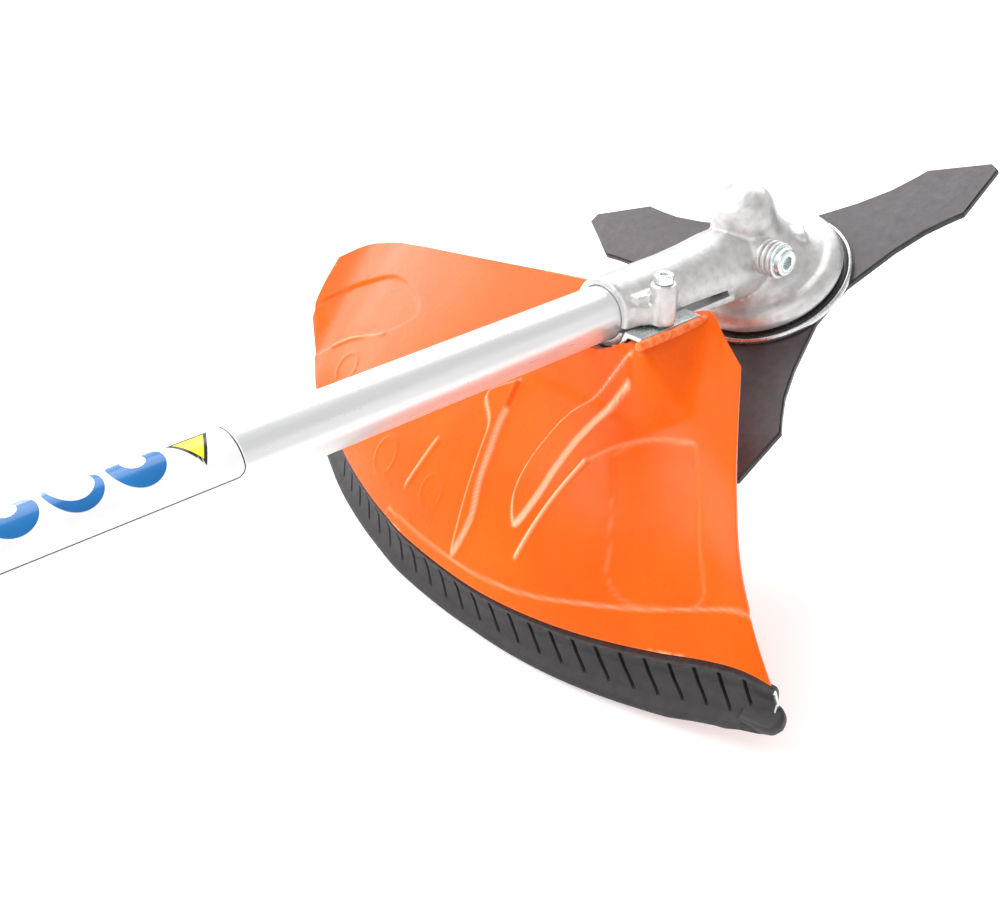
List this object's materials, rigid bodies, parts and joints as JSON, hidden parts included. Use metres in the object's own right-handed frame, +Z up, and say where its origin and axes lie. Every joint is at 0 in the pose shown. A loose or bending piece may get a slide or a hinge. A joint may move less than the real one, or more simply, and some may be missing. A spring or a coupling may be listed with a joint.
{
  "type": "petrol brush cutter",
  "caption": "Long-shaft petrol brush cutter with cycle handlebar, angled gear head, wide debris guard and three-wing brush knife.",
  "frame": {"origin": "centre of the fuel tank's flat underside, on which the engine end rests", "axes": "+X from the engine towards the knife, along the tube; +Y to the operator's left; +Z up"},
  "size_m": [1.7456, 0.6816, 0.491],
  "materials": {
    "cast_aluminium": "shot-blasted casting",
    "satin_tube": "satin anodised",
    "ground_steel": "ground",
    "zinc_steel": "zinc plated",
    "knife_steel": "dark tempered",
    "orange_plastic": "glossy moulded",
    "black_plastic": "moulded",
    "black_rubber": "matt",
    "grey_plastic": "moulded",
    "clear_plastic": "translucent moulded",
    "red_plastic": "moulded",
    "filter_foam": "open-cell foam",
    "ceramic": "glazed"
  },
  "bodies": {
    "machine": {"air_filter_cover": "black_plastic", "air_filter_element": "filter_foam", "carburettor": "cast_aluminium", "carrying_ring_clamp": "zinc_steel", "clutch_housing": "black_plastic", "connecting_rod": "ground_steel", "control_grip": "black_plastic", "crank_pin": "ground_steel", "crankcase": "cast_aluminium", "cylinder": "cast_aluminium", "debris_guard": "orange_plastic", "drive_tube": "satin_tube", "engine_cover": "orange_plastic", "fuel_tank": "clear_plastic", "gearbox_housing": "cast_aluminium", "grease_plug": "zinc_steel", "guard_bracket": "zinc_steel", "guard_screw_left": "zinc_steel", "guard_screw_right": "zinc_steel", "guard_skirt": "black_plastic", "handlebar": "black_plastic", "handlebar_clamp_base": "cast_aluminium", "handlebar_clamp_cap": "cast_aluminium", "ignition_coil": "black_plastic", "left_grip": "black_rubber", "line_cutter_knife": "zinc_steel", "lower_output_bearing": "ground_steel", "muffler": "zinc_steel", "pinion_bearing": "ground_steel", "piston": "cast_aluminium", "shaft_bushing": "black_rubber", "spark_plug": "ceramic", "spark_plug_boot": "black_rubber", "starter_housing": "black_plastic", "upper_output_bearing": "ground_steel"},
    "cutter": {"output_shaft": "ground_steel", "crown_gear": "ground_steel", "knife_holder_plate": "ground_steel", "brush_knife": "knife_steel", "clamp_washer": "ground_steel", "knife_nut": "zinc_steel"},
    "drive_line": {"drive_shaft": "ground_steel", "bevel_pinion": "ground_steel", "clutch_drum": "ground_steel"},
    "crank": {"crankshaft_rear_half": "ground_steel", "crankshaft_front_half": "ground_steel", "flywheel": "cast_aluminium", "clutch_shoe_1": "ground_steel", "clutch_shoe_2": "ground_steel"},
    "trigger": {"throttle_trigger": "orange_plastic"},
    "lockout": {"trigger_lockout_lever": "black_plastic"},
    "switch": {"stop_switch": "red_plastic"},
    "carburettor_lever": {"carburettor_throttle_lever": "zinc_steel"},
    "choke": {"choke_lever": "black_plastic"},
    "primer": {"primer_bulb": "clear_plastic"},
    "lift_ring": {"carrying_ring": "zinc_steel"},
    "clamp_screw": {"clamp_screw_knob": "black_plastic"},
    "pull_grip": {"starter_grip": "black_rubber"},
    "reel": {"starter_reel": "grey_plastic"},
    "cap": {"fuel_cap": "black_plastic"}
  },
  "joints": [
    {"name": "knife_spin", "type": "hinge", "parent": "machine", "child": "cutter", "pos_m": [1.55, 0, 0.1326], "axis": [-0.5, 0, 0.866], "continuous": true},
    {"name": "drive_spin", "type": "hinge", "parent": "machine", "child": "drive_line", "pos_m": [0, 0, 0.15079], "axis": [1, 0, 0], "continuous": true},
    {"name": "crank_spin", "type": "hinge", "parent": "machine", "child": "crank", "pos_m": [0, 0, 0.15079], "axis": [1, 0, 0], "continuous": true},
    {"name": "throttle_squeeze", "type": "hinge", "parent": "machine", "child": "trigger", "pos_m": [0.49878, -0.30957, 0.44356], "axis": [-0.1544, 0.988, 0], "range_deg": [0, 16], "stiffness_Nm_per_rad": 0.6, "springref_deg": -11.46},
    {"name": "lockout_press", "type": "hinge", "parent": "machine", "child": "lockout", "pos_m": [0.49031, -0.31089, 0.47702], "axis": [0.1544, -0.988, 0], "range_deg": [0, 6], "stiffness_Nm_per_rad": 0.3, "springref_deg": -11.46},
    {"name": "stop_switch_slide", "type": "slide", "parent": "machine", "child": "switch", "axis": [0.979, 0.153, -0.1346], "range_m": [-0.0025, 0.0025]},
    {"name": "carburettor_throttle", "type": "hinge", "parent": "machine", "child": "carburettor_lever", "pos_m": [0.024, 0.067, 0.22529], "axis": [0, 0, -1], "range_deg": [0, 64]},
    {"name": "choke_turn", "type": "hinge", "parent": "machine", "child": "choke", "pos_m": [0.0063, 0.06, 0.20479], "axis": [1, 0, 0], "range_deg": [0, 40]},
    {"name": "primer_press", "type": "slide", "parent": "machine", "child": "primer", "axis": [-1, 0, 0], "range_m": [0, 0.003], "stiffness_N_per_m": 400, "springref_m": -0.002},
    {"name": "carrying_ring_swing", "type": "hinge", "parent": "machine", "child": "lift_ring", "pos_m": [0.44, 0, 0.17779], "axis": [0, 1, 0], "range_deg": [0, 160]},
    {"name": "clamp_screw_turn", "type": "hinge", "parent": "machine", "child": "clamp_screw", "pos_m": [0.6158, 0, 0.18479], "axis": [0, 0, 1], "range_deg": [0, 720]},
    {"name": "starter_pull", "type": "slide", "parent": "machine", "child": "pull_grip", "axis": [0, 0, 1], "range_m": [0, 0.6], "stiffness_N_per_m": 6, "springref_m": -0.6},
    {"name": "starter_reel_turn", "type": "hinge", "parent": "machine", "child": "reel", "pos_m": [0, 0, 0.15079], "axis": [-1, 0, 0], "range_deg": [0, 1600]},
    {"name": "fuel_cap_turn", "type": "hinge", "parent": "machine", "child": "cap", "pos_m": [0.05, 0.082, 0.05], "axis": [0, 1, 0], "range_deg": [0, 360]}
  ],
  "couplings": [
    {"joint": "drive_spin", "follows": "knife_spin", "ratio": -1.5},
    {"joint": "carburettor_throttle", "follows": "throttle_squeeze", "ratio": 4},
    {"joint": "starter_reel_turn", "follows": "starter_pull", "rad_per_m": 45}
  ]
}
